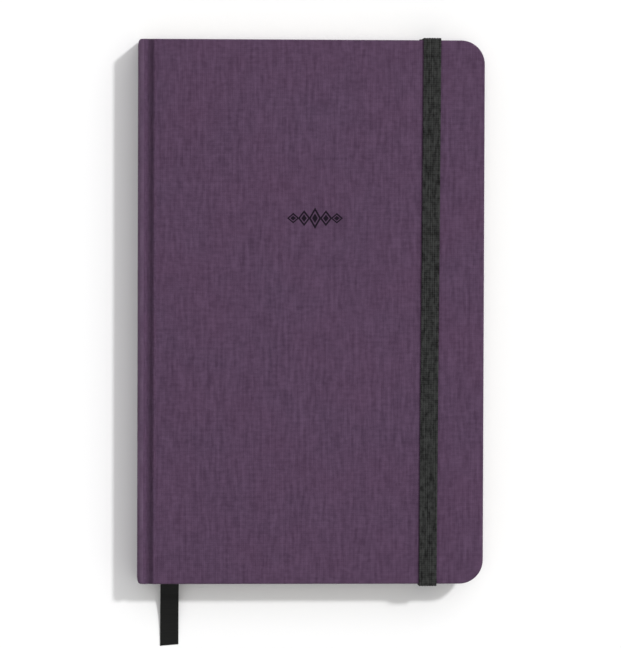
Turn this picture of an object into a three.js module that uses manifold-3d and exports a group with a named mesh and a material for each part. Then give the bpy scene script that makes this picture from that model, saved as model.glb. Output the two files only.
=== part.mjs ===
// A cloth-bound hardcover planner with rounded fore corners, a ribbon marker and an elastic closure.
// Millimetres. It lies on its back cover: +Z up, +Y to the head, +X to the fore edge, spine at -X.
import * as THREE from "three";
import { mergeVertices } from "three/addons/utils/BufferGeometryUtils.js";
import Module from "manifold-3d";

// Case: the two covers and the spine.
const COVER_WIDTH = 133.35; // spine's outer face to the fore edge
const COVER_HEIGHT = 209.55; // head to tail
const BOOK_THICKNESS = 16.4; // cloth to cloth, closed
const COVER_CORNER = 9.2; // radius of the two fore corners
const BOARD = 2.3; // greyboard in each cover
const CLOTH = 0.35; // book cloth with its paper backing
const TURN_IN = 3; // cloth left showing round the pastedown on the inner face
const PAPER = 0.15; // endpaper
const GROOVE_START = 2.9; // where the spine's shoulder ends and the joint begins
const GROOVE_END = 6.5; // where the boards begin
const SPINE_CARD = 0.8;
const CARD_SHORT = 1.6; // how far the spine card stops short of the turned-in ends of its cloth
const SPINE_ROUND = 1.9; // outer radius where the spine turns into its shoulders

// Text block.
const BLOCK_START = 2.2; // back of the folded signatures, from the spine's outer face
const SQUARE = 3; // how far the covers stand out past the pages
const PAGE_CORNER = 6.5;
const HALF_SIGNATURES = 6; // signatures below the ribbon, and as many above it
const STITCH = 0.3; // thickness of the sewing thread on the backs of the signatures
const STITCH_ROWS = 5;
const STITCH_WIDTH = 1.4;
const STITCH_SPAN = 160; // first row to last row
const MULL = 0.25;
const MULL_SHORT = 8; // how far the mull stops short of the pages' head and tail
const LINING_SHORT = 3;
const ENDBAND_WIDTH = 1.5;
const ENDBAND_HEIGHT = 1.3;

// Elastic closure and ribbon marker.
const ELASTIC_WIDTH = 6.8;
const ELASTIC = 0.85;
const ELASTIC_FROM_EDGE = 20.85; // its centre line to the fore edge
const ELASTIC_TUCK = 22; // length glued under the back pastedown at each end
const RIBBON_WIDTH = 7.3;
const RIBBON = 0.2;
const RIBBON_TAIL = 25.1; // how far it shows beyond the tail of the covers
const RIBBON_CENTRE = 12.6; // from the spine's outer face, along most of its length
const RIBBON_ROOT = 6.2; // the same at its glued end, under the head band
const RIBBON_STEPS = 12; // straight pieces in each quarter of its route

// Stamped ornament on the front cover: lozenges on a rule.
const ORNAMENT_FROM_SPINE = 68;
const ORNAMENT_FROM_HEAD = 68.6;
const ORNAMENT_LENGTH = 20.6;
const ORNAMENT_TALL = 8.1;
const ORNAMENT_RULE = 0.9; // height of the rule at the middle
const FOIL = 0.05;
const FOIL_DEPTH = 0.05; // the foil lies this far below the cloth's face

// Clearances.
const LAYER_GAP = 0.05; // between flat layers that lie on each other
const PAGE_GAP = 0.1; // between a cover and the pages
const JOINT_GAP = 0.45; // between the joint's cloth, at the bottom of its groove, and the flyleaf
const FIT_GAP = 0.15; // round a piece that sits in an outline cut for it
const SLOT_GAP = 0.3; // beside the elastic where it passes into the board

const boardLow = CLOTH + LAYER_GAP;
const boardHigh = boardLow + BOARD;
const pastedownLow = boardHigh + LAYER_GAP;
const coverThickness = pastedownLow + PAPER;
const flyleafLow = coverThickness + PAGE_GAP;
const blockLow = flyleafLow + PAPER + LAYER_GAP;
const blockHigh = BOOK_THICKNESS - blockLow;
const middle = BOOK_THICKNESS / 2;
const halfHeight = COVER_HEIGHT / 2;
const pageHalfHeight = halfHeight - SQUARE;
const pageEdge = COVER_WIDTH - SQUARE;
const elasticMiddle = COVER_WIDTH - ELASTIC_FROM_EDGE;

const wasm = await Module();
wasm.setup();

const materials = {
  cloth: new THREE.MeshStandardMaterial({ color: 0x554157, roughness: 0.9, metalness: 0 }),
  board: new THREE.MeshStandardMaterial({ color: 0x8f8a80, roughness: 0.95, metalness: 0 }),
  paper: new THREE.MeshStandardMaterial({ color: 0xf2eee2, roughness: 0.85, metalness: 0 }),
  endpaper: new THREE.MeshStandardMaterial({ color: 0xe9e3d6, roughness: 0.85, metalness: 0 }),
  thread: new THREE.MeshStandardMaterial({ color: 0xeeeae0, roughness: 0.8, metalness: 0 }),
  endband: new THREE.MeshStandardMaterial({ color: 0x4a3550, roughness: 0.7, metalness: 0 }),
  elastic: new THREE.MeshStandardMaterial({ color: 0x333333, roughness: 0.85, metalness: 0 }),
  ribbon: new THREE.MeshStandardMaterial({ color: 0x212121, roughness: 0.5, metalness: 0 }),
  foil: new THREE.MeshStandardMaterial({ color: 0x23142a, roughness: 0.5, metalness: 0 }),
};

// Rectangle from x0 to x1 about y = 0, with its two corners at x1 rounded.
function coverOutline(x0, x1, halfY, radius) {
  return new THREE.Shape()
    .moveTo(x0, -halfY)
    .lineTo(x1 - radius, -halfY)
    .absarc(x1 - radius, -halfY + radius, radius, -Math.PI / 2, 0)
    .lineTo(x1, halfY - radius)
    .absarc(x1 - radius, halfY - radius, radius, 0, Math.PI / 2)
    .lineTo(x0, halfY);
}

function rectangle(x0, y0, x1, y1) {
  return new THREE.Shape().moveTo(x0, y0).lineTo(x1, y0).lineTo(x1, y1).lineTo(x0, y1);
}

// A flat layer with its lower face at z = 0.
function layer(outline, thickness) {
  return new THREE.ExtrudeGeometry(outline, { depth: thickness, bevelEnabled: false, curveSegments: 10 });
}

// A strip whose section is drawn in x and z, centred along y.
function alongHeight(section, length) {
  const axes = new THREE.Matrix4().makeBasis(
    new THREE.Vector3(1, 0, 0),
    new THREE.Vector3(0, 0, 1),
    new THREE.Vector3(0, -1, 0),
  );
  return new THREE.ExtrudeGeometry(section, { depth: length, bevelEnabled: false, curveSegments: 6 })
    .translate(0, 0, -length / 2)
    .applyMatrix4(axes);
}

// A strip whose section is drawn in y and z, centred along x.
function alongWidth(section, length) {
  const axes = new THREE.Matrix4().makeBasis(
    new THREE.Vector3(0, 1, 0),
    new THREE.Vector3(0, 0, 1),
    new THREE.Vector3(1, 0, 0),
  );
  return new THREE.ExtrudeGeometry(section, { depth: length, bevelEnabled: false, curveSegments: 6 })
    .translate(0, 0, -length / 2)
    .applyMatrix4(axes);
}

function solid(geometry) {
  const bare = geometry.clone();
  bare.deleteAttribute("normal");
  bare.deleteAttribute("uv");
  const merged = mergeVertices(bare, 1e-4);
  return new wasm.Manifold(
    new wasm.Mesh({
      numProp: 3,
      vertProperties: merged.attributes.position.array,
      triVerts: new Uint32Array(merged.index.array),
    }),
  );
}

function geometryOf(manifold) {
  const mesh = manifold.getMesh();
  return new THREE.BufferGeometry()
    .setAttribute("position", new THREE.BufferAttribute(mesh.vertProperties, 3))
    .setIndex(new THREE.BufferAttribute(mesh.triVerts, 1));
}

function add(group, name, geometry, material, z = 0, x = 0, y = 0) {
  const mesh = new THREE.Mesh(geometry, materials[material]);
  mesh.name = name;
  mesh.position.set(x, y, z);
  group.add(mesh);
  return mesh;
}

// Cloth drawn over a board: the outer face, three edges and the turn-ins, open towards the joint.
function coverCloth() {
  const outside = solid(
    layer(coverOutline(GROOVE_END, COVER_WIDTH, halfHeight, COVER_CORNER), coverThickness),
  );
  const boardRoom = solid(
    layer(
      coverOutline(GROOVE_END - 1, COVER_WIDTH - CLOTH, halfHeight - CLOTH, COVER_CORNER - CLOTH),
      pastedownLow - CLOTH,
    ).translate(0, 0, CLOTH),
  );
  const window = solid(
    layer(
      coverOutline(GROOVE_END - 1, COVER_WIDTH - TURN_IN, halfHeight - TURN_IN, COVER_CORNER - TURN_IN),
      coverThickness,
    ).translate(0, 0, boardHigh),
  );
  return outside.subtract(boardRoom).subtract(window);
}

function boardSolid() {
  const inset = CLOTH + FIT_GAP;
  return solid(
    layer(
      coverOutline(GROOVE_END, COVER_WIDTH - inset, halfHeight - inset, COVER_CORNER - inset),
      BOARD,
    ).translate(0, 0, boardLow),
  );
}

function pastedown() {
  const inset = TURN_IN + FIT_GAP;
  return layer(
    coverOutline(GROOVE_END + FIT_GAP, COVER_WIDTH - inset, halfHeight - inset, COVER_CORNER - inset),
    PAPER,
  );
}

// The elastic's glued end: a leg in the board's inner face that reaches out past the cover's edge.
function elasticTuck(gap) {
  const reach = halfHeight + LAYER_GAP + ELASTIC;
  return layer(
    rectangle(
      elasticMiddle - ELASTIC_WIDTH / 2 - gap,
      halfHeight - ELASTIC_TUCK - gap,
      elasticMiddle + ELASTIC_WIDTH / 2 + gap,
      reach + gap,
    ),
    ELASTIC,
  );
}
const tuckLow = boardHigh - ELASTIC;

function tuckSlots() {
  const head = solid(elasticTuck(SLOT_GAP).scale(1, 1, 3).translate(0, 0, tuckLow - LAYER_GAP));
  return [head, head.mirror([0, 1, 0])];
}

// A thin swelled rule with five lozenges on it, grown all round by the same amount.
function ornament(grow, depth) {
  const half = ORNAMENT_LENGTH / 2;
  const tall = ORNAMENT_TALL / 2;
  const lozenges = [[0, half, ORNAMENT_RULE / 2]];
  for (const place of [-2, -1, 0, 1, 2]) {
    const share = 1 - Math.abs(place) * 0.26;
    lozenges.push([place * half * 0.4, half * 0.22, tall * share]);
  }
  return lozenges
    .map(([centre, halfLong, halfTall]) =>
      solid(
        layer(
          new THREE.Shape()
            .moveTo(centre - halfLong - grow, 0)
            .lineTo(centre, -halfTall - grow)
            .lineTo(centre + halfLong + grow, 0)
            .lineTo(centre, halfTall + grow),
          depth,
        ),
      ),
    )
    .reduce((whole, lozenge) => whole.add(lozenge));
}

// The cloth in the joint dips between the spine's shoulder and the board.
function jointCloth() {
  const start = GROOVE_START + LAYER_GAP;
  const end = GROOVE_END - LAYER_GAP;
  const low = (start + end) / 2;
  const dip = flyleafLow - CLOTH - JOINT_GAP;
  const section = new THREE.Shape()
    .moveTo(start, 0)
    .quadraticCurveTo(start + (low - start) * 0.7, 0, low, dip)
    .quadraticCurveTo(end - (end - low) * 0.3, dip * 0.8, end, 0)
    .lineTo(end, CLOTH)
    .quadraticCurveTo(end - (end - low) * 0.3, dip * 0.8 + CLOTH, low, dip + CLOTH)
    .quadraticCurveTo(start + (low - start) * 0.7, CLOTH, start, CLOTH);
  return alongHeight(section, COVER_HEIGHT);
}

// Spine cloth: a flat back with two rounded shoulders.
function spineCloth() {
  const inner = SPINE_ROUND - CLOTH;
  const top = BOOK_THICKNESS;
  const section = new THREE.Shape()
    .moveTo(GROOVE_START, 0)
    .lineTo(GROOVE_START, CLOTH)
    .lineTo(SPINE_ROUND, CLOTH)
    .absarc(SPINE_ROUND, SPINE_ROUND, inner, -Math.PI / 2, Math.PI, true)
    .lineTo(CLOTH, top - SPINE_ROUND)
    .absarc(SPINE_ROUND, top - SPINE_ROUND, inner, Math.PI, Math.PI / 2, true)
    .lineTo(GROOVE_START, top - CLOTH)
    .lineTo(GROOVE_START, top)
    .lineTo(SPINE_ROUND, top)
    .absarc(SPINE_ROUND, top - SPINE_ROUND, SPINE_ROUND, Math.PI / 2, Math.PI)
    .lineTo(0, SPINE_ROUND)
    .absarc(SPINE_ROUND, SPINE_ROUND, SPINE_ROUND, Math.PI, 1.5 * Math.PI);
  return alongHeight(section, COVER_HEIGHT);
}

// The elastic over the front cover and down past the head and the tail.
function elasticBand() {
  const top = BOOK_THICKNESS + LAYER_GAP;
  const foot = boardHigh + LAYER_GAP;
  const inY = halfHeight + LAYER_GAP;
  const outY = inY + ELASTIC;
  const section = new THREE.Shape()
    .moveTo(-outY, foot)
    .lineTo(-inY, foot)
    .lineTo(-inY, top)
    .lineTo(inY, top)
    .lineTo(inY, foot)
    .lineTo(outY, foot)
    .lineTo(outY, top)
    .absarc(inY, top, ELASTIC, 0, Math.PI / 2)
    .lineTo(-inY, top + ELASTIC)
    .absarc(-inY, top, ELASTIC, Math.PI / 2, Math.PI);
  return alongWidth(section, ELASTIC_WIDTH);
}

// The ribbon's side view: flat between the pages, then down over the back cover's tail to rest.
const ribbonRest = RIBBON / 2 + LAYER_GAP;
const ribbonRoute = [
  [pageHalfHeight - 1, middle],
  [0, middle],
  [-pageHalfHeight - 0.4, middle],
  [-halfHeight + 0.8, middle - 0.7],
  [-halfHeight - 1.9, middle - 2.6],
  [-halfHeight - 5, middle - 4.7],
  [-halfHeight - 8.6, ribbonRest + 2.0],
  [-halfHeight - 13, ribbonRest + 1.1],
  [-halfHeight - 18, ribbonRest + 0.4],
  [-halfHeight - RIBBON_TAIL, ribbonRest],
];

function ribbonCentre(y) {
  const slant = THREE.MathUtils.smoothstep(y, 0, pageHalfHeight);
  return THREE.MathUtils.lerp(RIBBON_CENTRE, RIBBON_ROOT, slant);
}

function ribbonMarker() {
  const [head, half, tail, ...drop] = ribbonRoute.map(([y, z]) => new THREE.Vector2(y, z));
  const inside = [];
  for (let step = 0; step < RIBBON_STEPS; step++) inside.push(head.clone().lerp(half, step / RIBBON_STEPS));
  for (let step = 0; step < RIBBON_STEPS; step++) inside.push(half.clone().lerp(tail, step / RIBBON_STEPS));
  const outside = new THREE.SplineCurve([tail, ...drop]).getPoints(2 * RIBBON_STEPS);
  const centres = [...inside, ...outside];
  const last = centres.length - 1;
  const strip = new THREE.BoxGeometry(RIBBON_WIDTH, 1, RIBBON, 1, last, 1);
  const position = strip.attributes.position;
  for (let index = 0; index < position.count; index++) {
    const step = Math.round((0.5 - position.getY(index)) * last);
    const centre = centres[step];
    const along = centres[Math.min(step + 1, last)].clone().sub(centres[Math.max(step - 1, 0)]).normalize();
    const rise = position.getZ(index);
    position.setXYZ(
      index,
      position.getX(index) + ribbonCentre(centre.x),
      centre.x + along.y * rise,
      centre.y - along.x * rise,
    );
  }
  return strip;
}

const planner = new THREE.Group();
const book = new THREE.Group(); // x from the spine's outer face
book.position.x = -COVER_WIDTH / 2;
planner.add(book);

// Back cover, outer face down; the front cover is the same turned over.
const [slotHead, slotTail] = tuckSlots();
const backCover = new THREE.Group();
book.add(backCover);
add(backCover, "back_cloth", geometryOf(coverCloth().subtract(slotHead).subtract(slotTail)), "cloth");
add(backCover, "back_board", geometryOf(boardSolid().subtract(slotHead).subtract(slotTail)), "board");
add(backCover, "back_pastedown", pastedown(), "endpaper", pastedownLow);
add(backCover, "elastic_end_head", elasticTuck(0), "elastic", tuckLow);
add(backCover, "elastic_end_tail", elasticTuck(0).rotateX(Math.PI), "elastic", tuckLow + ELASTIC);

const frontCover = new THREE.Group();
frontCover.rotation.x = Math.PI;
frontCover.position.z = BOOK_THICKNESS;
book.add(frontCover);
const ornamentY = -(halfHeight - ORNAMENT_FROM_HEAD);
const foilRecess = ornament(FIT_GAP, 3 * FOIL + FOIL_DEPTH).translate([
  ORNAMENT_FROM_SPINE,
  ornamentY,
  -FOIL,
]);
add(frontCover, "front_cloth", geometryOf(coverCloth().subtract(foilRecess)), "cloth");
add(frontCover, "front_board", geometryOf(boardSolid()), "board");
add(frontCover, "front_pastedown", pastedown(), "endpaper", pastedownLow);
add(
  frontCover,
  "front_ornament",
  geometryOf(ornament(0, FOIL)),
  "foil",
  FOIL_DEPTH,
  ORNAMENT_FROM_SPINE,
  ornamentY,
);

// Spine and the two joints.
const spine = new THREE.Group();
book.add(spine);
add(spine, "spine_cloth", spineCloth(), "cloth");
add(
  spine,
  "spine_card",
  layer(
    rectangle(0, -halfHeight + CARD_SHORT, SPINE_CARD, halfHeight - CARD_SHORT),
    BOOK_THICKNESS - 2 * (SPINE_ROUND + LAYER_GAP),
  ),
  "board",
  SPINE_ROUND + LAYER_GAP,
  CLOTH + LAYER_GAP,
);
add(backCover, "back_joint_cloth", jointCloth(), "cloth");
add(frontCover, "front_joint_cloth", jointCloth(), "cloth");

// Text block: folded signatures between two flyleaves, with the ribbon at the middle.
const textBlock = new THREE.Group();
book.add(textBlock);
const page = coverOutline(BLOCK_START, pageEdge, pageHalfHeight, PAGE_CORNER);
const halfBlock = middle - RIBBON / 2 - LAYER_GAP - blockLow;
const signature = (halfBlock - (HALF_SIGNATURES - 1) * LAYER_GAP) / HALF_SIGNATURES;
for (let number = 1; number <= 2 * HALF_SIGNATURES; number++) {
  const upper = number > HALF_SIGNATURES;
  const index = upper ? number - HALF_SIGNATURES - 1 : number - 1;
  const low = upper ? middle + RIBBON / 2 + LAYER_GAP : blockLow;
  const name = "signature_" + String(number).padStart(2, "0");
  add(textBlock, name, layer(page, signature), "paper", low + index * (signature + LAYER_GAP));
}
add(textBlock, "back_flyleaf", layer(page, PAPER), "endpaper", flyleafLow);
add(textBlock, "front_flyleaf", layer(page, PAPER), "endpaper", BOOK_THICKNESS - flyleafLow - PAPER);
add(book, "ribbon", ribbonMarker(), "ribbon");

// On the backs of the signatures, outwards: sewing thread, mull, paper lining; then the end bands.
const stitchX = BLOCK_START - LAYER_GAP - STITCH;
const mullX = stitchX - LAYER_GAP - MULL;
const liningX = mullX - LAYER_GAP - PAPER;
const blockTall = blockHigh - blockLow;
for (let row = 0; row < STITCH_ROWS; row++) {
  const y = STITCH_SPAN * (row / (STITCH_ROWS - 1) - 0.5);
  const stitch = layer(rectangle(0, y - STITCH_WIDTH / 2, STITCH, y + STITCH_WIDTH / 2), blockTall);
  add(textBlock, "sewing_thread_" + (row + 1), stitch, "thread", blockLow, stitchX);
}
const mullHalf = pageHalfHeight - MULL_SHORT;
const liningHalf = pageHalfHeight - LINING_SHORT;
add(textBlock, "mull", layer(rectangle(0, -mullHalf, MULL, mullHalf), blockTall), "thread", blockLow, mullX);
add(
  textBlock,
  "spine_lining",
  layer(rectangle(0, -liningHalf, PAPER, liningHalf), blockTall),
  "endpaper",
  blockLow,
  liningX,
);
function endband() {
  const round = ENDBAND_HEIGHT / 2;
  const section = new THREE.Shape()
    .moveTo(0, 0)
    .lineTo(ENDBAND_WIDTH, 0)
    .lineTo(ENDBAND_WIDTH, ENDBAND_HEIGHT - round)
    .absarc(ENDBAND_WIDTH - round, ENDBAND_HEIGHT - round, round, 0, Math.PI / 2)
    .lineTo(round, ENDBAND_HEIGHT)
    .absarc(round, ENDBAND_HEIGHT - round, round, Math.PI / 2, Math.PI);
  return layer(section, blockTall);
}
const endbandX = BLOCK_START + 0.7 - ENDBAND_WIDTH;
add(textBlock, "head_band", endband(), "endband", blockLow, endbandX, pageHalfHeight + LAYER_GAP);
add(
  textBlock,
  "tail_band",
  endband().rotateX(Math.PI),
  "endband",
  blockHigh,
  endbandX,
  -pageHalfHeight - LAYER_GAP,
);

add(book, "elastic_band", elasticBand(), "elastic", 0, elasticMiddle);

export default planner;
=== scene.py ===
"""A cloth-bound hardcover planner with an elastic closure and a ribbon marker, lying on its back cover."""
import math
import random

import bmesh
import bpy
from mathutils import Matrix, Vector


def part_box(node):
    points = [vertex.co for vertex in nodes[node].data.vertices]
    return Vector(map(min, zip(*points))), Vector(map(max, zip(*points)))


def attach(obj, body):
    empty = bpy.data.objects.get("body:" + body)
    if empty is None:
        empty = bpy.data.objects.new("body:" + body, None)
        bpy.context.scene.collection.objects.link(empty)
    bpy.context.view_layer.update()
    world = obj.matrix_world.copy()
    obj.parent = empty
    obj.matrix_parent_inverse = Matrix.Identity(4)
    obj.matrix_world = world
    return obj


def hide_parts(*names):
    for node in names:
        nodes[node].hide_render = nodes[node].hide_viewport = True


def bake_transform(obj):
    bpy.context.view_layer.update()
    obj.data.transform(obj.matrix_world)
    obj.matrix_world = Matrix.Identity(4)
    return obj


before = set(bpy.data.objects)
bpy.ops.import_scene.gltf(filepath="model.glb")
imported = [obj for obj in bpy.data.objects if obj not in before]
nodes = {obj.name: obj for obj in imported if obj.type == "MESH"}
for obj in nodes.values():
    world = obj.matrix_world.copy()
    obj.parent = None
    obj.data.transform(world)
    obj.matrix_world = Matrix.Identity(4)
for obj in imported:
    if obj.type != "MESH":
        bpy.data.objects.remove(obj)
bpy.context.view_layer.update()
bpy.ops.object.select_all(action="DESELECT")

MM = 0.001

# Sizes read from the frame.
cover_low, cover_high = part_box("front_cloth")
page_low, page_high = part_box("signature_01")
band_low, band_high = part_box("elastic_band")
LEFT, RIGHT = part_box("spine_cloth")[0].x, cover_high.x
HEAD, TAIL = cover_high.y, cover_low.y
TOP = cover_high.z
MIDDLE = TOP / 2
BOARD_START = cover_low.x
COVER_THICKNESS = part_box("back_cloth")[1].z
COVER_CORNER = 9.2 * MM
PAGE_CORNER = 6.5 * MM
SIGNATURES = 12


# ---------------------------------------------------------------- mesh helpers


def piece_from_active(name):
    """Names the object just added, and moves its place, turn and scale into its mesh."""
    piece = bpy.context.object
    piece.name = piece.data.name = name
    bpy.ops.object.transform_apply(location=True, rotation=True, scale=True)
    return piece


def block(name, low, high):
    """A box between two corners."""
    low, high = Vector(low), Vector(high)
    bpy.ops.mesh.primitive_cube_add(size=1, location=(low + high) / 2)
    bpy.context.object.scale = high - low
    return piece_from_active(name)


def only(piece):
    """The piece alone is selected and active."""
    if bpy.context.object and bpy.context.object.mode != "OBJECT":
        bpy.ops.object.mode_set(mode="OBJECT")
    bpy.ops.object.select_all(action="DESELECT")
    piece.select_set(True)
    bpy.context.view_layer.objects.active = piece


def select(piece, kind, test):
    """In edit mode, selects the verts, edges or faces that pass the test."""
    only(piece)
    bpy.ops.object.mode_set(mode="EDIT")
    bpy.ops.mesh.select_mode(type={"verts": "VERT", "edges": "EDGE", "faces": "FACE"}[kind])
    bpy.ops.mesh.select_all(action="DESELECT")
    mesh = bmesh.from_edit_mesh(piece.data)
    mesh.normal_update()
    for item in getattr(mesh, kind):
        if test(item):
            item.select_set(True)
    bmesh.update_edit_mesh(piece.data)


def ends(edge):
    return edge.verts[0].co, edge.verts[1].co


def near(a, b, gap=0.02 * MM):
    return abs(a - b) < gap


def round_edges(piece, test, radius, segments):
    select(piece, "edges", lambda edge: test(*ends(edge)))
    bpy.ops.mesh.bevel(offset=radius, segments=segments, profile=0.5, affect="EDGES")
    bpy.ops.object.mode_set(mode="OBJECT")


def delete_faces(piece, test):
    select(piece, "faces", test)
    bpy.ops.mesh.delete(type="FACE")
    bpy.ops.object.mode_set(mode="OBJECT")


def apply(piece, kind, **settings):
    """Adds a modifier and applies it."""
    only(piece)
    modifier = piece.modifiers.new(kind.title(), kind)
    for key, value in settings.items():
        setattr(modifier, key, value)
    bpy.ops.object.modifier_apply(modifier=modifier.name)


def cut(piece, cutter, operation="DIFFERENCE"):
    apply(piece, "BOOLEAN", operation=operation, object=cutter, solver="EXACT")
    bpy.data.objects.remove(cutter)


def join(name, parts):
    only(parts[0])
    for part in parts[1:]:
        part.select_set(True)
    bpy.ops.object.join()
    parts[0].name = parts[0].data.name = name
    return parts[0]


def finish_piece(piece, material, angle=35):
    """Outward normals, smooth faces up to an angle, a flat-on UV map in metres, and the material."""
    only(piece)
    bpy.ops.object.mode_set(mode="EDIT")
    bpy.ops.mesh.select_all(action="SELECT")
    bpy.ops.mesh.normals_make_consistent(inside=False)
    bpy.ops.uv.cube_project(cube_size=2.0, scale_to_bounds=False)
    bpy.ops.object.mode_set(mode="OBJECT")
    bpy.ops.object.shade_smooth_by_angle(angle=math.radians(angle))
    piece.data.materials.clear()
    piece.data.materials.append(material)


def cuts_along(piece, axis, low, high, count):
    """Cuts the piece across an axis at even steps, so that it can bend."""
    normal = Vector((0, 0, 0))
    normal[axis] = 1
    for step in range(1, count):
        place = Vector((0, 0, 0))
        place[axis] = low + (high - low) * step / count
        select(piece, "faces", lambda face: True)
        bpy.ops.mesh.bisect(plane_co=place, plane_no=normal)
    bpy.ops.object.mode_set(mode="OBJECT")


# ---------------------------------------------------------------- material helpers


def place_node(tree, kind, inputs=None, **settings):
    """A shader node with its settings, and its inputs linked or given values."""
    made = tree.nodes.new("ShaderNode" + kind)
    for key, value in settings.items():
        setattr(made, key, value)
    for key, value in (inputs or {}).items():
        socket = made.inputs[key]
        if isinstance(value, bpy.types.NodeSocket):
            tree.links.new(value, socket)
        else:
            socket.default_value = value
    return made


def math_node(tree, operation, *values, clamp=False):
    made = place_node(tree, "Math", dict(enumerate(values)), operation=operation, use_clamp=clamp)
    return made.outputs[0]


def mix_colour(tree, factor, a, b):
    made = place_node(tree, "Mix", data_type="RGBA")
    for key, value in ((0, factor), (6, a), (7, b)):
        if isinstance(value, bpy.types.NodeSocket):
            tree.links.new(value, made.inputs[key])
        else:
            made.inputs[key].default_value = value
    return made.outputs[2]


def linear(red, green, blue):
    """An sRGB colour, 0 to 255, as a linear one."""
    def channel(c):
        c /= 255
        return c / 12.92 if c <= 0.04045 else ((c + 0.055) / 1.055) ** 2.4
    return (channel(red), channel(green), channel(blue), 1)


def group_tree(name, inputs, outputs):
    tree = bpy.data.node_groups.new(name, "ShaderNodeTree")
    for label, kind, value in inputs:
        socket = tree.interface.new_socket(label, in_out="INPUT", socket_type="NodeSocket" + kind)
        if value is not None:
            socket.default_value = value
    for label, kind in outputs:
        tree.interface.new_socket(label, in_out="OUTPUT", socket_type="NodeSocket" + kind)
    return tree, tree.nodes.new("NodeGroupInput").outputs, tree.nodes.new("NodeGroupOutput").inputs


def share_of(tree, a, share, b):
    """A share of one value, and the rest of another."""
    rest = math_node(tree, "MULTIPLY", b, 1 - share)
    return math_node(tree, "MULTIPLY_ADD", a, share, rest)


def streaks(tree, u, v, across, along, detail=2.0):
    """Noise drawn out along v: threads that vary in thickness along their length."""
    where = place_node(
        tree,
        "CombineXYZ",
        {0: math_node(tree, "MULTIPLY", u, across), 1: math_node(tree, "MULTIPLY", v, along)},
    )
    made = place_node(tree, "TexNoise", {"Vector": where.outputs[0], "Scale": 1.0, "Detail": detail})
    return made.outputs[0]


def weave_group():
    """Plain weave: height of the crossing threads, and slubs that run along and across."""
    tree, given, out = group_tree(
        "plain weave",
        [
            ("Vector", "Vector", None),
            ("Threads per metre", "Float", 2400.0),
            ("Slubs per metre", "Float", 120.0),
        ],
        [("Height", "Float"), ("Slubs", "Float"), ("Long slubs", "Float")],
    )
    parts = place_node(tree, "SeparateXYZ", {0: given[0]})
    u, v = parts.outputs[0], parts.outputs[1]
    turn = math_node(tree, "MULTIPLY", given[1], math.pi)
    warp = math_node(tree, "SINE", math_node(tree, "MULTIPLY", u, turn))
    weft = math_node(tree, "SINE", math_node(tree, "MULTIPLY", v, turn))
    over = math_node(tree, "MULTIPLY_ADD", math_node(tree, "MULTIPLY", warp, weft), 0.5, 0.5)
    warp_round = math_node(tree, "ABSOLUTE", warp)
    weft_round = math_node(tree, "ABSOLUTE", weft)
    mixed = place_node(tree, "Mix", {0: over, 2: warp_round, 3: weft_round}, data_type="FLOAT")
    fine = math_node(tree, "MULTIPLY", given[1], 0.62)
    short = math_node(tree, "MULTIPLY", given[2], 2.5)
    tall = streaks(tree, u, v, fine, given[2])
    wide = streaks(tree, v, u, fine, short)
    long_tall = streaks(tree, u, v, 1300.0, 40.0, 1.0)
    long_wide = streaks(tree, v, u, 1300.0, 70.0, 1.0)
    tree.links.new(mixed.outputs[0], out[0])
    tree.links.new(share_of(tree, tall, 0.6, wide), out[1])
    tree.links.new(share_of(tree, long_tall, 0.65, long_wide), out[2])
    return tree


def mottle_group():
    """Slow, soft changes of tone over a surface."""
    tree, given, out = group_tree(
        "mottle", [("Vector", "Vector", None), ("Scale", "Float", 18.0)], [("Value", "Float")]
    )
    made = place_node(
        tree, "TexNoise", {"Vector": given[0], "Scale": given[1], "Detail": 3.0, "Roughness": 0.6}
    )
    tree.links.new(made.outputs[0], out[0])
    return tree


WEAVE = weave_group()
MOTTLE = mottle_group()
THREADS = 2600.0  # per metre, in the book cloth and the elastic


def new_material(name, colour, roughness, specular=0.3):
    material = bpy.data.materials.new(name)
    material.use_nodes = True
    shader = material.node_tree.nodes["Principled BSDF"]
    shader.inputs["Base Color"].default_value = colour
    shader.inputs["Roughness"].default_value = roughness
    shader.inputs["Specular IOR Level"].default_value = specular
    return material, material.node_tree, shader


def coordinates(tree, output="UV"):
    return place_node(tree, "TexCoord").outputs[output]


def weave(tree, vector, threads, slubs_per_metre):
    """The weave's height, its slubs and its long slubs."""
    made = place_node(tree, "Group", node_tree=WEAVE)
    tree.links.new(vector, made.inputs[0])
    made.inputs[1].default_value = threads
    made.inputs[2].default_value = slubs_per_metre
    return made.outputs[0], made.outputs[1], made.outputs[2]


def mottle(tree, vector, scale):
    made = place_node(tree, "Group", node_tree=MOTTLE)
    tree.links.new(vector, made.inputs[0])
    made.inputs[1].default_value = scale
    return made.outputs[0]


def spread_about_half(tree, value, gain):
    """Stretches a value about one half, and keeps it between 0 and 1."""
    return math_node(tree, "MULTIPLY_ADD", math_node(tree, "SUBTRACT", value, 0.5), gain, 0.5, clamp=True)


def bump(tree, shader, height, distance, strength=1.0):
    made = place_node(tree, "Bump", {"Height": height, "Distance": distance, "Strength": strength})
    tree.links.new(made.outputs[0], shader.inputs["Normal"])


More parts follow.
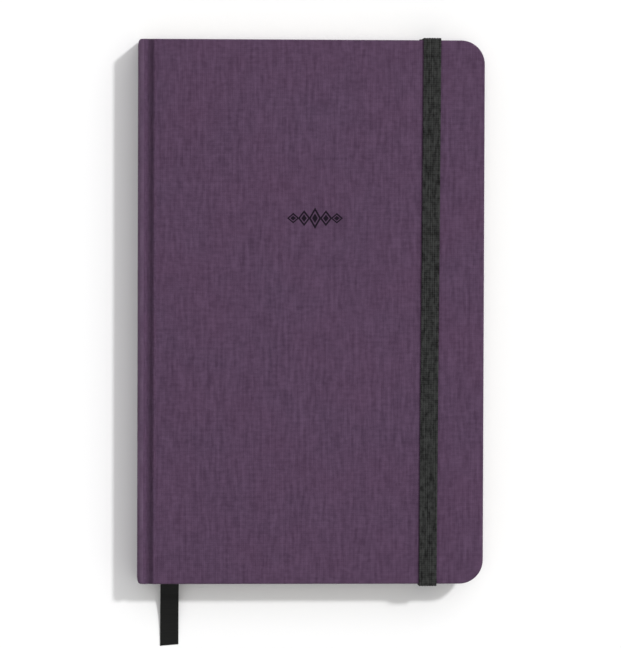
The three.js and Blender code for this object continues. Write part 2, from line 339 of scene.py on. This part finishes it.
def book_cloth_material(name="book cloth", groove_shade=None, painted_highlight=0.0):
    """Plum linen-weave book cloth, matt, with lighter slubs, and painted shade in the hollows between the
    threads.

    The cloth is darker about a line across u, partly as pressed cloth and mostly as painted shade of the
    groove, and paler in patches as a painted highlight.
    """
    material, tree, shader = new_material(name, linear(72, 53, 75), 0.88, 0.16)
    uv = coordinates(tree)
    height, slubs, long_slubs = weave(tree, uv, THREADS, 260.0)
    short_tone = spread_about_half(tree, slubs, 3.6)
    long_tone = spread_about_half(tree, long_slubs, 2.4)
    tone = share_of(tree, short_tone, 0.66, long_tone)
    threads = mix_colour(tree, tone, linear(64, 46, 67), linear(89, 68, 92))
    # Painted shade: darker toward the weave's low places between the threads.
    painted_hollow_shade = math_node(tree, "MULTIPLY", math_node(tree, "SUBTRACT", 1.0, height), 0.14)
    woven = mix_colour(tree, painted_hollow_shade, threads, linear(38, 26, 39))
    reddened = math_node(tree, "MULTIPLY", spread_about_half(tree, mottle(tree, uv, 70.0), 2.6), 0.13)
    colour = mix_colour(tree, reddened, woven, linear(93, 55, 81))
    # Painted highlight: paler patches that stand in for the light on the spine's shoulders.
    if painted_highlight:
        wear_and_highlight = spread_about_half(tree, mottle(tree, uv, 120.0), 2.0)
        colour = mix_colour(tree, math_node(tree, "MULTIPLY", wear_and_highlight, painted_highlight), colour, linear(112, 92, 114))
    # Darker about the groove's middle: partly pressed cloth, mostly painted shade of the groove.
    if groove_shade:
        centre, half_width = groove_shade
        across = math_node(tree, "SUBTRACT", place_node(tree, "SeparateXYZ", {0: uv}).outputs[0], centre)
        from_centre = math_node(tree, "DIVIDE", math_node(tree, "ABSOLUTE", across), half_width)
        pressed = math_node(tree, "SUBTRACT", 1.0, from_centre, clamp=True)
        colour = mix_colour(tree, math_node(tree, "MULTIPLY", pressed, 0.47), colour, linear(30, 19, 31))
    tree.links.new(colour, shader.inputs["Base Color"])
    relief = math_node(tree, "MULTIPLY_ADD", slubs, 1.4, height)
    bump(tree, shader, relief, 0.05 * MM, 0.9)
    return material


def elastic_material():
    """Charcoal braided elastic: short, uneven floats of thread over the ribs."""
    material, tree, shader = new_material("ribbed elastic", linear(36, 36, 36), 0.85, 0.16)
    uv = coordinates(tree)
    height, slubs, _ = weave(tree, uv, THREADS, 420.0)
    ribbed = math_node(tree, "MULTIPLY_ADD", height, 0.2, slubs)
    tone = spread_about_half(tree, math_node(tree, "SUBTRACT", ribbed, 0.1), 3.6)
    tree.links.new(
        mix_colour(tree, tone, linear(14, 14, 14), linear(52, 53, 52)), shader.inputs["Base Color"]
    )
    bump(tree, shader, height, 0.06 * MM)
    return material


def ribbon_material():
    """Black satin: long floats across, with a slight shine."""
    material, tree, shader = new_material("black satin", linear(22, 22, 22), 0.5, 0.12)
    uv = coordinates(tree)
    parts = place_node(tree, "SeparateXYZ", {0: uv})
    ribs_per_metre = 3200
    turn = math_node(tree, "MULTIPLY", parts.outputs[1], 2 * math.pi * ribs_per_metre)
    ribs = math_node(tree, "SINE", turn)
    grain = streaks(tree, parts.outputs[0], parts.outputs[1], 200.0, 4000.0)
    tone = spread_about_half(tree, math_node(tree, "MULTIPLY_ADD", ribs, 0.08, grain), 1.3)
    tree.links.new(
        mix_colour(tree, tone, linear(15, 15, 15), linear(27, 27, 26)), shader.inputs["Base Color"]
    )
    bump(tree, shader, ribs, 0.015 * MM, 0.6)
    return material


RULE_PITCH = 6.35 * MM
RULE = 0.16 * MM
HEAD_MARGIN = 15 * MM
FORE_MARGIN = 11 * MM
FOLD_MARGIN = 12 * MM


def page_rules(tree, place):
    """A mask of the faint lines across each page, inside its margins."""
    x, y = place_node(tree, "SeparateXYZ", {0: place}).outputs[:2]
    normal = place_node(tree, "SeparateXYZ", {0: coordinates(tree, "Normal")})
    upright = math_node(tree, "ABSOLUTE", normal.outputs[2])
    to_next_rule = math_node(tree, "PINGPONG", y, RULE_PITCH / 2)
    masks = [
        math_node(tree, "LESS_THAN", to_next_rule, RULE / 2),
        math_node(tree, "GREATER_THAN", upright, 0.9),
        math_node(tree, "LESS_THAN", math_node(tree, "ABSOLUTE", y), HEAD - HEAD_MARGIN),
        math_node(tree, "LESS_THAN", x, RIGHT - FORE_MARGIN),
        math_node(tree, "GREATER_THAN", x, LEFT + FOLD_MARGIN),
    ]
    rules = masks[0]
    for mask in masks[1:]:
        rules = math_node(tree, "MULTIPLY", rules, mask)
    return rules


def paper_material(name, light, dark, ruled):
    """Uncoated paper with a fine fibre, and faint rules on its faces if it is a page."""
    material, tree, shader = new_material(name, light, 0.8, 0.25)
    place = coordinates(tree, "Object")
    fibre = place_node(tree, "TexNoise", {"Vector": place, "Scale": 900.0, "Detail": 4.0}).outputs[0]
    tone = share_of(tree, spread_about_half(tree, fibre, 1.6), 0.5, mottle(tree, place, 40.0))
    colour = mix_colour(tree, tone, dark, light)
    if ruled:
        ink = math_node(tree, "MULTIPLY", page_rules(tree, place), 0.7)
        colour = mix_colour(tree, ink, colour, linear(150, 148, 156))
    tree.links.new(colour, shader.inputs["Base Color"])
    bump(tree, shader, fibre, 0.01 * MM, 0.5)
    return material


def board_material():
    """Grey binder's board with flecks of fibre."""
    material, tree, shader = new_material("grey board", linear(143, 138, 128), 0.95, 0.15)
    place = coordinates(tree, "Object")
    fleck = place_node(tree, "TexNoise", {"Vector": place, "Scale": 1600.0, "Detail": 5.0}).outputs[0]
    tree.links.new(
        mix_colour(tree, spread_about_half(tree, fleck, 2.4), linear(112, 107, 98), linear(168, 162, 150)),
        shader.inputs["Base Color"],
    )
    bump(tree, shader, fleck, 0.03 * MM)
    return material


def mull_material():
    """Open cotton weave, stiffened with glue."""
    material, tree, shader = new_material("mull", linear(230, 226, 214), 0.9, 0.2)
    height, slubs, _ = weave(tree, coordinates(tree), 1000.0, 200.0)
    tone = share_of(tree, height, 0.7, slubs)
    tree.links.new(
        mix_colour(tree, tone, linear(190, 182, 165), linear(238, 234, 222)), shader.inputs["Base Color"]
    )
    bump(tree, shader, height, 0.05 * MM)
    return material


def thread_material(name, dark, light, stripe=None):
    """Twisted thread; with a stripe, the colours change along z as on a woven end band."""
    material, tree, shader = new_material(name, light, 0.7, 0.3)
    place = coordinates(tree, "Object")
    fine = place_node(tree, "TexNoise", {"Vector": place, "Scale": 5000.0, "Detail": 2.0}).outputs[0]
    colour = mix_colour(tree, spread_about_half(tree, fine, 2.0), dark, light)
    if stripe:
        parts = place_node(tree, "SeparateXYZ", {0: place})
        band = math_node(tree, "PINGPONG", parts.outputs[2], 2 * stripe)
        pale = math_node(tree, "GREATER_THAN", band, stripe)
        colour = mix_colour(tree, pale, colour, linear(206, 198, 204))
    tree.links.new(colour, shader.inputs["Base Color"])
    bump(tree, shader, fine, 0.03 * MM)
    return material


def foil_material():
    """Dark stamping foil, pressed so hard that the weave still shows through it."""
    material, tree, shader = new_material("dark foil", linear(20, 9, 24), 0.65, 0.1)
    height, slubs, _ = weave(tree, coordinates(tree), THREADS, 150.0)
    wear_and_highlight = math_node(tree, "GREATER_THAN", slubs, 0.66)
    tree.links.new(
        mix_colour(tree, math_node(tree, "MULTIPLY", wear_and_highlight, 0.35), linear(19, 8, 23), linear(46, 32, 48)),
        shader.inputs["Base Color"],
    )
    bump(tree, shader, height, 0.02 * MM, 0.7)
    return material


ENDBAND_TURN = 0.5 * MM  # one turn of an end band's thread

cloth = book_cloth_material()
# The spine's cloth, paler in patches: a painted highlight.
highlighted_spine_cloth = book_cloth_material("spine book cloth with painted highlight", painted_highlight=0.5)
elastic = elastic_material()
satin = ribbon_material()
page_paper = paper_material("page paper", linear(236, 231, 219), linear(226, 221, 207), True)
endpaper = paper_material("endpaper", linear(230, 224, 210), linear(219, 212, 196), False)
board = board_material()
mull_cloth = mull_material()
thread = thread_material("linen thread", linear(205, 198, 184), linear(242, 238, 228))
endband_thread = thread_material("end band", linear(58, 38, 62), linear(84, 60, 88), ENDBAND_TURN)
foil = foil_material()


# ---------------------------------------------------------------- camera

camera_data = bpy.data.cameras.new("camera")
camera_data.lens = 229.0
camera = bpy.data.objects.new("camera", camera_data)
camera.location = (-0.0813, 0.0348, 1.6)
camera.rotation_euler = (math.radians(-1.43), math.radians(-2.924), math.radians(0.179))
camera_data.clip_end = 20
bpy.context.scene.collection.objects.link(camera)
bpy.context.scene.camera = camera


# ---------------------------------------------------------------- ribbon marker

RIBBON_WIDTH = 7.3 * MM
RIBBON = 0.2 * MM
RIBBON_CENTRE = LEFT + 12.6 * MM
RIBBON_ROOT = LEFT + 6.2 * MM
RIBBON_TAIL = 25.1 * MM
RIBBON_COLUMNS = 8
INSIDE_STEPS = 24  # in each half of its straight way through the book
TAIL_STEPS = 6  # between two points of its tail
CUT_SLANT = 0.6 * MM
CUT_STEPS = 5
SELVAGE = 0.05 * MM  # how far its edges stand up
page_head, page_tail = page_high.y, page_low.y
ribbon_rest = RIBBON / 2 + 0.05 * MM  # its middle's height where it lies on the table
ribbon_route = [
    (page_head - 1 * MM, MIDDLE),
    (0, MIDDLE),
    (page_tail - 0.4 * MM, MIDDLE),
    (TAIL + 0.8 * MM, MIDDLE - 0.7 * MM),
    (TAIL - 1.9 * MM, MIDDLE - 2.6 * MM),
    (TAIL - 5 * MM, MIDDLE - 4.7 * MM),
    (TAIL - 8.6 * MM, ribbon_rest + 2.0 * MM),
    (TAIL - 13 * MM, ribbon_rest + 1.1 * MM),
    (TAIL - 18 * MM, ribbon_rest + 0.4 * MM),
    (TAIL - RIBBON_TAIL, ribbon_rest),
]


def smooth_through(points, steps):
    """Points on a smooth line through these, the same kind as the solid's own."""
    result = []
    for index in range(len(points) - 1):
        before = points[max(index - 1, 0)]
        start, stop = points[index], points[index + 1]
        after = points[min(index + 2, len(points) - 1)]
        for step in range(steps):
            t = step / steps
            leaving, arriving = (stop - before) * 0.5, (after - start) * 0.5
            square = start * -3 + stop * 3 - leaving * 2 - arriving
            cube = start * 2 - stop * 2 + leaving + arriving
            result.append(start + leaving * t + square * t**2 + cube * t**3)
    return result + [points[-1]]


def ribbon_line():
    """The ribbon's middle line: straight through the book, slanting to its root, then down to the table."""
    flat = [Vector(point) for point in ribbon_route]
    inside = [flat[0].lerp(flat[1], step / INSIDE_STEPS) for step in range(INSIDE_STEPS)]
    inside += [flat[1].lerp(flat[2], step / INSIDE_STEPS) for step in range(INSIDE_STEPS)]
    line = []
    for point in inside + smooth_through(flat[2:], TAIL_STEPS):
        slant = min(max(point.x / page_head, 0), 1)
        slant = slant * slant * (3 - 2 * slant)
        line.append(Vector((RIBBON_CENTRE + (RIBBON_ROOT - RIBBON_CENTRE) * slant, point.x, point.y)))
    return line


def ribbon_marker():
    """A flat satin ribbon with slightly raised selvages, cut off a little on the slant."""
    line = ribbon_line()
    last = len(line) - 1
    bpy.ops.mesh.primitive_grid_add(x_subdivisions=RIBBON_COLUMNS, y_subdivisions=last, size=1)
    ribbon = piece_from_active("ribbon_marker")
    for vertex in ribbon.data.vertices:
        step = round((0.5 - vertex.co.y) * last)
        along = line[min(step + 1, last)] - line[max(step - 1, 0)]
        lift = Vector((0, along.z, -along.y)).normalized()
        across = vertex.co.x
        slanted_cut = CUT_SLANT * across * max(0, (step - last + CUT_STEPS) / CUT_STEPS)
        vertex.co = line[step] + Vector((across * (RIBBON_WIDTH - RIBBON), slanted_cut, 0))
        vertex.co += lift * (SELVAGE if abs(across) > 0.49 else 0)
    apply(ribbon, "SOLIDIFY", thickness=RIBBON, offset=0)
    apply(ribbon, "BEVEL", width=0.05 * MM, segments=2, limit_method="ANGLE", angle_limit=math.radians(50))
    finish_piece(ribbon, satin)
    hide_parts("ribbon")
    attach(ribbon, "back_cover")


ribbon_marker()


# ---------------------------------------------------------------- covers


CLOTH = 0.19 * MM
TURN_IN = 3 * MM
OUTER_ROUND = 0.65 * MM
INNER_ROUND = 0.4 * MM
SLOT_ROOM = Vector((0.15, 0.15, 0.3)) * MM  # round the elastic where it passes into the back cover


def cover_cloth(name, outer, inner):
    """Cloth drawn over a board: rounded edges, turned in on the inner face."""

    def is_inner(face):
        return abs(face.normal.z) > 0.9 and near(face.calc_center_median().z, inner)

    def is_beside_joint(face):
        middle = face.calc_center_median()
        return is_inner(face) and middle.x < BOARD_START + TURN_IN and abs(middle.y) < HEAD / 2

    piece = block(name, (BOARD_START, TAIL, min(outer, inner)), (RIGHT, HEAD, max(outer, inner)))
    round_edges(
        piece, lambda a, b: near(a.x, RIGHT) and near(b.x, RIGHT) and near(a.y, b.y), COVER_CORNER, 16
    )
    round_edges(piece, lambda a, b: near(a.z, outer) and near(b.z, outer), OUTER_ROUND, 5)
    round_edges(piece, lambda a, b: near(a.z, inner) and near(b.z, inner), INNER_ROUND, 3)
    select(piece, "faces", is_inner)
    bpy.ops.mesh.inset(thickness=TURN_IN - INNER_ROUND, depth=0)
    bpy.ops.mesh.delete(type="FACE")
    bpy.ops.object.mode_set(mode="OBJECT")
    delete_faces(piece, is_beside_joint)
    apply(piece, "SOLIDIFY", thickness=CLOTH, offset=-1, use_even_offset=True)
    return piece


def lozenge(centre, half_long, half_tall, low, high):
    """A lozenge standing on its point."""
    bpy.ops.mesh.primitive_cylinder_add(vertices=4, radius=1, depth=1, location=centre)
    bpy.context.object.scale = (half_long, half_tall, high - low)
    bpy.context.object.location.z = (low + high) / 2
    return piece_from_active("lozenge")


ornament_low, ornament_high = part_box("front_ornament")
ORNAMENT = (ornament_low + ornament_high) / 2
ORNAMENT_LONG = (ornament_high.x - ornament_low.x) / 2
ORNAMENT_TALL = (ornament_high.y - ornament_low.y) / 2
ORNAMENT_RULE = 0.9 * MM
STAMP_DEPTH = 0.05 * MM  # the foil's face lies this far below the cloth's
FOIL = 0.1 * MM
RECESS = 0.12 * MM  # how deep the stamp presses the cloth in, just past the foil's outline
RECESS_MARGIN = 0.1 * MM
LOZENGE_PITCH, LOZENGE_LONG, LOZENGE_SHRINK = 0.4, 0.22, 0.26  # shares of the ornament's half sizes
RING_OUTER, RING_INNER = 0.7, 0.46  # shares of a lozenge


def ornament_lozenges():
    """The rule, then five lozenges along it, the middle one the tallest.

    Each has its centre, half its length and half its height.
    """
    sizes = [(ORNAMENT, ORNAMENT_LONG, ORNAMENT_RULE / 2)]
    for place in range(-2, 3):
        centre = ORNAMENT + Vector((place * ORNAMENT_LONG * LOZENGE_PITCH, 0, 0))
        tall = ORNAMENT_TALL * (1 - abs(place) * LOZENGE_SHRINK)
        sizes.append((centre, ORNAMENT_LONG * LOZENGE_LONG, tall))
    return sizes


def ornament_parts(grow, low, high):
    sizes = ornament_lozenges()
    return [lozenge(centre, long + grow, tall + grow, low, high) for centre, long, tall in sizes]


def stamped_ornament():
    """The foil, with a fine line left open inside each lozenge."""
    low, high = TOP - STAMP_DEPTH - FOIL, TOP - STAMP_DEPTH
    stamp, *lozenges = ornament_parts(0, low, high)
    for part in lozenges:
        cut(stamp, part, "UNION")
    for centre, long, tall in ornament_lozenges()[1:]:
        ring = lozenge(centre, long * RING_OUTER, tall * RING_OUTER, low - 1 * MM, high + 1 * MM)
        core = lozenge(centre, long * RING_INNER, tall * RING_INNER, low - 2 * MM, high + 2 * MM)
        cut(ring, core)
        cut(stamp, ring)
    stamp.name = stamp.data.name = "stamped_ornament"
    finish_piece(stamp, foil)
    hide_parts("front_ornament")
    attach(stamp, "front_cover")


def front_cover():
    piece = cover_cloth("front_cover_cloth", TOP, TOP - COVER_THICKNESS)
    for part in ornament_parts(RECESS_MARGIN, TOP - RECESS, TOP + 1 * MM):
        cut(piece, part)
    finish_piece(piece, cloth)
    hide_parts("front_cloth")
    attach(piece, "front_cover")
    stamped_ornament()


def back_cover():
    piece = cover_cloth("back_cover_cloth", 0, COVER_THICKNESS)
    for node in ("elastic_end_head", "elastic_end_tail"):
        low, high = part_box(node)
        cut(piece, block("slot", low - SLOT_ROOM, high + SLOT_ROOM + Vector((0, 0, 1 * MM))))
    finish_piece(piece, cloth)
    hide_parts("back_cloth")
    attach(piece, "back_cover")


front_cover()
back_cover()


# ---------------------------------------------------------------- spine and joints

SHOULDER = LEFT + 3.0 * MM
SPINE_ROUND = 1.9 * MM
SHOULDER_ROUND = 0.9 * MM
SPINE_CLOTH = 0.35 * MM
EASED_EDGE = 0.08 * MM
CAP_DEPTH = 1.1 * MM  # how far the spine's cloth draws in at its head and tail
CAP_LENGTH = 2.0 * MM
CAP_STEPS = 5
CAP_FIRST = 0.12  # radians; the first cut is just inside the end itself
CAP_SINK = 0.35  # its share by which the spine also gets thinner there

GROOVE_DEPTH = 1.2 * MM
GROOVE_CENTRE = LEFT + 4.6 * MM
GROOVE_SLOPE_START = LEFT + 2.5 * MM
GROOVE_SLOPE_END = LEFT + 6.5 * MM
JOINT_START = LEFT + 2.2 * MM
JOINT_END = BOARD_START + 0.62 * MM
JOINT_CLOTH = 0.25 * MM
JOINT_INSET = 0.012 * MM  # it lies this far under the faces that it meets
JOINT_COLUMNS, JOINT_ROWS = 40, 24
# How far the painted groove shade spreads from the groove's middle.
GROOVE_SHADE_HALF_WIDTH = 1.6 * MM
# Cloth with painted shade about the groove's middle, where the joint is pressed in.
groove_shaded_cloth = book_cloth_material(
    "book cloth with painted groove shade", groove_shade=(GROOVE_CENTRE - JOINT_START, GROOVE_SHADE_HALF_WIDTH)
)


def draw_in_ends(piece):
    """Rounds the head and the tail of the spine, where its cloth is turned in."""
    for sign in (-1, 1):
        for step in range(CAP_STEPS):
            angle = step * math.pi / 2 / CAP_STEPS + CAP_FIRST
            place = sign * (HEAD - CAP_LENGTH * (1 - math.cos(angle)))
            select(piece, "faces", lambda face: True)
            bpy.ops.mesh.bisect(plane_co=(0, place, 0), plane_no=(0, 1, 0))
    bpy.ops.object.mode_set(mode="OBJECT")
    for vertex in piece.data.vertices:
        t = max(0, 1 - (HEAD - abs(vertex.co.y)) / CAP_LENGTH)
        inset = CAP_DEPTH * (1 - math.sqrt(1 - min(t, 1) ** 2))
        vertex.co.x += inset * max(0, (SHOULDER - vertex.co.x) / (SHOULDER - LEFT))
        rise = (vertex.co.z - MIDDLE) / MIDDLE
        vertex.co.z -= CAP_SINK * inset * rise


def spine():
    """Flat back, rounded shoulders that roll over into the joints, and rounded ends."""
    piece = block("spine_cloth_roll", (LEFT, TAIL, 0), (SHOULDER, HEAD, TOP))
    round_edges(
        piece, lambda a, b: near(a.x, LEFT) and near(b.x, LEFT) and near(a.z, b.z), SPINE_ROUND, 9
    )
    round_edges(
        piece,
        lambda a, b: near(a.x, SHOULDER) and near(b.x, SHOULDER) and near(a.z, b.z),
        SHOULDER_ROUND,
        5,
    )
    delete_faces(piece, lambda face: face.normal.x > 0.99 or abs(face.normal.y) > 0.9)
    draw_in_ends(piece)
    apply(piece, "SOLIDIFY", thickness=SPINE_CLOTH, offset=-1, use_even_offset=True)
    apply(
        piece,
        "BEVEL",
        width=EASED_EDGE,
        segments=2,
        limit_method="ANGLE",
        angle_limit=math.radians(60),
    )
    # The spine's cloth has a painted highlight in paler patches.
    finish_piece(piece, highlighted_spine_cloth)
    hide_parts("spine_cloth")
    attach(piece, "spine")


def groove_dip(x):
    """How deep the joint lies at a place across it: a soft valley that rises to the board."""
    edge = GROOVE_SLOPE_START if x < GROOVE_CENTRE else GROOVE_SLOPE_END
    share = min(abs(x - GROOVE_CENTRE) / abs(edge - GROOVE_CENTRE), 1)
    return GROOVE_DEPTH * (1 + math.cos(math.pi * share)) / 2


def joint(name, face, inward, node):
    """The cloth pressed down into the groove between the spine's shoulder and a board."""
    bpy.ops.mesh.primitive_grid_add(x_subdivisions=JOINT_COLUMNS, y_subdivisions=JOINT_ROWS, size=1)
    piece = bpy.context.object
    piece.scale = (JOINT_END - JOINT_START, HEAD - TAIL, 1)
    piece.location = ((JOINT_START + JOINT_END) / 2, 0, face + inward * JOINT_INSET)
    piece = piece_from_active(name)
    for vertex in piece.data.vertices:
        vertex.co.z += inward * groove_dip(vertex.co.x)
    draw_in_ends(piece)
    apply(piece, "SOLIDIFY", thickness=JOINT_CLOTH, offset=inward)
    # The joint's cloth carries the painted groove shade.
    finish_piece(piece, groove_shaded_cloth)
    for corner, loop in zip(piece.data.uv_layers.active.data, piece.data.loops):
        place = piece.data.vertices[loop.vertex_index].co
        corner.uv = (place.x - JOINT_START, place.y)
    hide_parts(node)
    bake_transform(piece)


spine()
joint("front_joint", TOP, -1, "front_joint_cloth")
joint("back_joint", 0, 1, "back_joint_cloth")


# ---------------------------------------------------------------- text block

LEAVES = 8
LEAF = 0.082 * MM
FOLD = 0.5 * MM
FOLD_ROUND = 0.3 * MM
HALF = SIGNATURES // 2  # below the ribbon; as many lie above it
chance = random.Random(7)


def signature(number):
    """Folded leaves: each one a thin sheet, a little out of line, closed by a rounded fold at the back."""
    node = f"signature_{number:02d}"
    low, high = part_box(node)
    leaf = block(node + "_leaves", (low.x + FOLD / 2, low.y, low.z), (high.x, high.y, low.z + LEAF))
    round_edges(
        leaf, lambda a, b: near(a.x, high.x) and near(b.x, high.x) and near(a.y, b.y), PAGE_CORNER, 9
    )
    pitch = (high.z - low.z - LEAF) / (LEAVES - 1)
    corners = len(leaf.data.vertices)
    apply(
        leaf,
        "ARRAY",
        count=LEAVES,
        use_relative_offset=False,
        use_constant_offset=True,
        constant_offset_displace=(0, 0, pitch),
    )
    for sheet in range(LEAVES):
        shift = Vector((chance.uniform(-0.07, 0.02), chance.uniform(-0.04, 0.04), 0)) * MM
        for vertex in leaf.data.vertices[sheet * corners : (sheet + 1) * corners]:
            vertex.co += shift
    fold = block("fold", low, (low.x + FOLD, high.y, high.z))
    round_edges(
        fold, lambda a, b: near(a.x, low.x) and near(b.x, low.x) and near(a.z, b.z), FOLD_ROUND, 4
    )
    piece = join(node + "_leaves", [leaf, fold])
    finish_piece(piece, page_paper)
    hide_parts(node)
    body = "back_cover" if number <= HALF else f"leaves_{number:02d}"
    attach(piece, body)


for number in range(1, SIGNATURES + 1):
    signature(number)

STRIP_CUTS = 40
WINDING_ROUND = 0.16 * MM


def bend_at_middle(piece, node):
    """Hides the frame's piece, and moves the new piece's place into its mesh."""
    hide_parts(node)
    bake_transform(piece)


def glued_strip(name, node, material):
    """Cloth or paper glued over the backs of the signatures."""
    low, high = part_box(node)
    piece = block(name, low, high)
    cuts_along(piece, 2, low.z, high.z, STRIP_CUTS)
    finish_piece(piece, material)
    bend_at_middle(piece, node)


def end_band(name, node):
    """Thread wound round a core, turn beside turn."""
    low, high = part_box(node)
    centre = (low + high) / 2
    bpy.ops.mesh.primitive_cylinder_add(
        vertices=16,
        radius=(high.y - low.y) / 2,
        depth=ENDBAND_TURN,
        location=(centre.x, centre.y, low.z + ENDBAND_TURN / 2),
    )
    piece = piece_from_active(name)
    round_edges(piece, lambda a, b: near(a.z, b.z), WINDING_ROUND, 3)
    apply(
        piece,
        "ARRAY",
        count=round((high.z - low.z) / ENDBAND_TURN),
        use_relative_offset=False,
        use_constant_offset=True,
        constant_offset_displace=(0, 0, ENDBAND_TURN),
    )
    finish_piece(piece, endband_thread)
    bend_at_middle(piece, node)


THREAD_ROWS = 5
STRANDS_APART = 0.3 * MM  # from the row's middle line
STRAND_LEAN = 0.35  # radians
STRAND_ROUND = 0.06 * MM
END_EDGE = 0.12 * MM  # the edges round a strand's two ends are shorter than this
# Shares of a signature's thickness: each strand overlaps the next.
STRAND_LENGTH = 1.25
STRAND_MIDDLE = 0.64
STITCH_STEP = 0.99


def stitches(row):
    """One chain stitch across the back of each signature: two strands that lean together."""
    node = f"sewing_thread_{row}"
    low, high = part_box(node)
    centre = (low + high) / 2
    pitch = (high.z - low.z) / SIGNATURES
    parts = []
    for strand in (-1, 1):
        bpy.ops.mesh.primitive_cylinder_add(
            vertices=10,
            radius=(high.x - low.x) / 2,
            depth=pitch * STRAND_LENGTH,
            location=(centre.x, centre.y + strand * STRANDS_APART, low.z + pitch * STRAND_MIDDLE),
            rotation=(strand * STRAND_LEAN, 0, 0),
        )
        strand_piece = piece_from_active("strand")
        round_edges(strand_piece, lambda a, b: (a - b).length < END_EDGE, STRAND_ROUND, 2)
        parts.append(strand_piece)
    piece = join(f"stitches_{row}", parts)
    apply(
        piece,
        "ARRAY",
        count=SIGNATURES,
        use_relative_offset=False,
        use_constant_offset=True,
        constant_offset_displace=(0, 0, pitch * STITCH_STEP),
    )
    finish_piece(piece, thread)
    bend_at_middle(piece, node)


glued_strip("mull_strip", "mull", mull_cloth)
glued_strip("paper_lining", "spine_lining", endpaper)
end_band("head_band_winding", "head_band")
end_band("tail_band_winding", "tail_band")
for row in range(1, THREAD_ROWS + 1):
    stitches(row)


# ---------------------------------------------------------------- elastic closure

ELASTIC = 0.85 * MM
ELASTIC_WIDTH = band_high.x - band_low.x
ELASTIC_CENTRE = (band_low.x + band_high.x) / 2
RIBS = 7
COLUMNS_PER_RIB = 4
VALLEY = 0.16 * MM  # how deep it is between two ribs
CORNER = 0.4 * MM  # its inner radius where it turns over a cover's edge
LEAN = 0.55 * MM  # it lies a little aslant, this far at each end
LEG_STEPS, CORNER_STEPS, TOP_STEPS = 16, 6, 30
ROTATE_BACK = -1  # without a window the rotate operator turns the other way


def grow_end(move, count):
    """Draws the selected end out in even steps."""
    for _ in range(count):
        bpy.ops.mesh.extrude_region_move(TRANSFORM_OT_translate={"value": Vector(move) / count})


def turn_end(centre, angle, count):
    """Draws the selected end round a corner."""
    for _ in range(count):
        bpy.ops.mesh.extrude_region_move(TRANSFORM_OT_translate={"value": (0, 0, 0)})
        bpy.ops.transform.rotate(value=angle / count, orient_axis="X", center_override=centre)


def elastic_loop():
    """A ribbed band: up past the head, over the front cover and down past the tail."""
    columns = COLUMNS_PER_RIB * RIBS
    bpy.ops.mesh.primitive_grid_add(x_subdivisions=columns, y_subdivisions=1, size=1)
    foot = band_low.z
    bpy.context.object.scale = (ELASTIC_WIDTH, ELASTIC, 1)
    bpy.context.object.location = (ELASTIC_CENTRE, band_high.y - ELASTIC / 2, foot)
    piece = piece_from_active("elastic_loop_band")
    outer = band_high.y
    step = ELASTIC_WIDTH / columns

    def in_valley(vertex):
        column = round((vertex.co.x - band_low.x) / step)
        return near(vertex.co.y, outer) and column % COLUMNS_PER_RIB == 0

    select(piece, "verts", in_valley)
    bpy.ops.transform.translate(value=(0, -VALLEY, 0))
    select(piece, "faces", lambda face: True)
    over = band_high.z - ELASTIC - CORNER
    inner_head = band_high.y - ELASTIC - CORNER
    inner_tail = band_low.y + ELASTIC + CORNER
    grow_end((0, 0, over - foot), LEG_STEPS)
    turn_end((ELASTIC_CENTRE, inner_head, over), ROTATE_BACK * math.pi / 2, CORNER_STEPS)
    grow_end((0, inner_tail - inner_head, 0), TOP_STEPS)
    turn_end((ELASTIC_CENTRE, inner_tail, over), ROTATE_BACK * math.pi / 2, CORNER_STEPS)
    grow_end((0, 0, foot - over), LEG_STEPS)
    bpy.ops.object.mode_set(mode="OBJECT")
    for vertex in piece.data.vertices:
        vertex.co.x += LEAN * vertex.co.y / HEAD
    finish_piece(piece, elastic, 50)
    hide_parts("elastic_band")
    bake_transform(piece)


elastic_loop()


# ---------------------------------------------------------------- pieces kept from the frame

KEPT = {
    "front_board": board,
    "back_board": board,
    "spine_card": board,
    "front_pastedown": endpaper,
    "back_pastedown": endpaper,
    "front_flyleaf": endpaper,
    "back_flyleaf": endpaper,
    "elastic_end_head": elastic,
    "elastic_end_tail": elastic,
}
for name, material in KEPT.items():
    nodes[name].data.materials.clear()
    nodes[name].data.materials.append(material)


# ---------------------------------------------------------------- floor and light

FLOOR_SIZE = 6

bpy.ops.mesh.primitive_plane_add(size=FLOOR_SIZE, location=(0, 0, 0))
floor = bpy.context.object
floor.name = "floor"
floor_material = new_material("white floor", (0.9, 0.9, 0.9, 1), 1.0, 0.0)[0]
floor.data.materials.append(floor_material)


def soft_light(name, falls, energy, angle):
    """A distant light from one side; a wider angle makes its shadows softer."""
    light = bpy.data.lights.new(name, "SUN")
    light.energy = energy
    light.angle = math.radians(angle)
    lamp = bpy.data.objects.new(name, light)
    lamp.rotation_euler = Vector(falls).to_track_quat("-Z", "Y").to_euler()
    bpy.context.scene.collection.objects.link(lamp)


soft_light("key light", (-10.3, -8.5, -16.4), 1.6, 5)
soft_light("fill light", (-6, -10, -9), 0.56, 60)

world = bpy.data.worlds.new("studio")
world.use_nodes = True
world.node_tree.nodes["Background"].inputs["Color"].default_value = (1, 1, 1, 1)
world.node_tree.nodes["Background"].inputs["Strength"].default_value = 0.68
bpy.context.scene.world = world
bpy.context.scene.view_settings.view_transform = "Standard"
